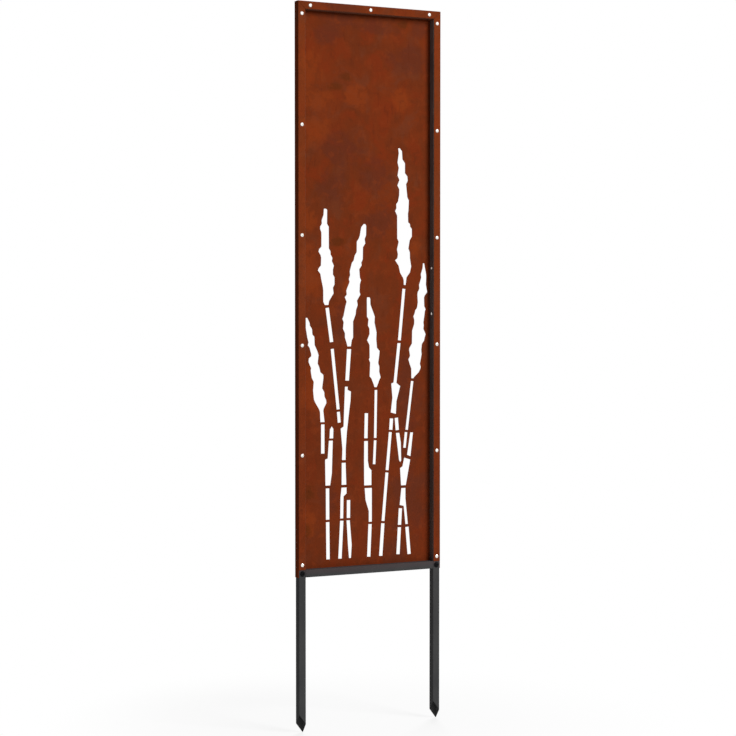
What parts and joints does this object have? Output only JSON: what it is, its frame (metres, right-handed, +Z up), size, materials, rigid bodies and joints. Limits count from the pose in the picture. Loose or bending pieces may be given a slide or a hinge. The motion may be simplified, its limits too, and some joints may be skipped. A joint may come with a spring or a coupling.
{
  "type": "privacy screen",
  "caption": "Tall narrow garden privacy screen: a folded weathering steel panel with reed cut-outs, screwed to a black tube frame whose posts end in ground stakes.",
  "frame": {"origin": "middle of the bottom rail's underside, level with the panel's lower edge and the ground line", "axes": "+Z up along the posts, +X to the right seen from the front, the lips of the panel face -Y"},
  "size_m": [0.4, 0.0319, 1.8],
  "materials": {
    "corten": "matte",
    "frame_coat": "satin",
    "sleeve_steel": "satin",
    "connector_plastic": "matte",
    "bright_zinc": "polished",
    "black_oxide": "satin"
  },
  "bodies": {
    "root": {"corten_panel": "corten", "top_rail": "frame_coat", "bottom_rail": "frame_coat", "left_upper_post": "frame_coat", "right_upper_post": "frame_coat", "left_stake_post": "frame_coat", "right_stake_post": "frame_coat", "left_splice_sleeve": "sleeve_steel", "right_splice_sleeve": "sleeve_steel", "left_corner_connector": "connector_plastic", "right_corner_connector": "connector_plastic", "left_rail_tongue": "sleeve_steel", "right_rail_tongue": "sleeve_steel", "left_panel_screws": "bright_zinc", "right_panel_screws": "bright_zinc", "top_panel_screws": "bright_zinc", "left_splice_screws": "bright_zinc", "right_splice_screws": "bright_zinc", "left_corner_bolt": "black_oxide", "right_corner_bolt": "black_oxide", "left_corner_washer": "black_oxide", "right_corner_washer": "black_oxide", "left_corner_nut": "black_oxide", "right_corner_nut": "black_oxide"}
  },
  "joints": []
}
